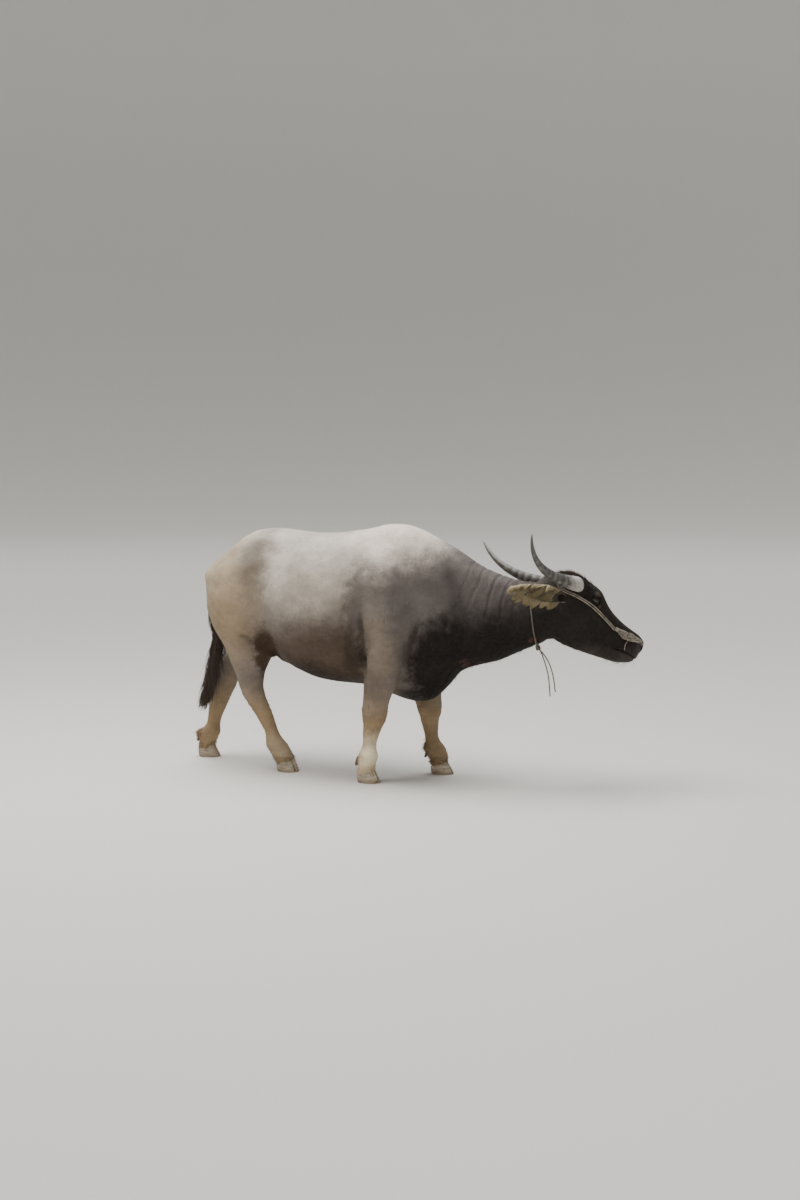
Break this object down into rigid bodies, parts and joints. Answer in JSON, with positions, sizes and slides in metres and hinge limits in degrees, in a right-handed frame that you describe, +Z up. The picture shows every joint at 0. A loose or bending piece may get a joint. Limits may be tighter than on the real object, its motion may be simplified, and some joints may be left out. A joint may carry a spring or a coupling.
{
  "type": "water buffalo",
  "caption": "Life-size standing water buffalo with swept-back horns, head low and turned left, a nose halter and a neck cord with hanging ends.",
  "frame": {"origin": "middle of the animal's outer box at the level of its soles", "axes": "+X from the rump towards the head along the standing body, +Y to the animal's left, +Z up"},
  "size_m": [2.4161, 0.7303, 1.292],
  "materials": {
    "hide": "matte wrinkled hide, cream grey on the rump and back, lavender grey on the flank, cream on the lower legs",
    "dark_hide": "matte brown black hide",
    "ear_hair": "long pale yellow hair",
    "tail_hair": "coarse brown black hair",
    "horn": "ridged grey horn, paler at its base, satin",
    "hoof": "pale ringed horn with dried soil, matte",
    "eye": "wet dark brown",
    "rope": "twisted grey beige rope, matte"
  },
  "bodies": {
    "root": {"ear_left": "ear_hair", "ear_right": "ear_hair", "eye_left": "eye", "eye_right": "eye", "foreleg_left": "hide", "foreleg_left_claw_inner": "hoof", "foreleg_left_claw_outer": "hoof", "foreleg_left_dewclaw_inner": "hoof", "foreleg_left_dewclaw_outer": "hoof", "foreleg_right": "hide", "foreleg_right_claw_inner": "hoof", "foreleg_right_claw_outer": "hoof", "foreleg_right_dewclaw_inner": "hoof", "foreleg_right_dewclaw_outer": "hoof", "head": "dark_hide", "head_cord_front": "rope", "head_cord_rear": "rope", "hindleg_left": "hide", "hindleg_left_claw_inner": "hoof", "hindleg_left_claw_outer": "hoof", "hindleg_left_dewclaw_inner": "hoof", "hindleg_left_dewclaw_outer": "hoof", "hindleg_right": "hide", "hindleg_right_claw_inner": "hoof", "hindleg_right_claw_outer": "hoof", "hindleg_right_dewclaw_inner": "hoof", "hindleg_right_dewclaw_outer": "hoof", "horn_left": "horn", "horn_right": "horn", "neck": "hide", "neck_cord": "rope", "neck_cord_end_long": "rope", "neck_cord_end_short": "rope", "neck_knot": "rope", "nose_knot_left": "rope", "nose_knot_right": "rope", "tail": "tail_hair", "torso": "hide"}
  },
  "joints": []
}
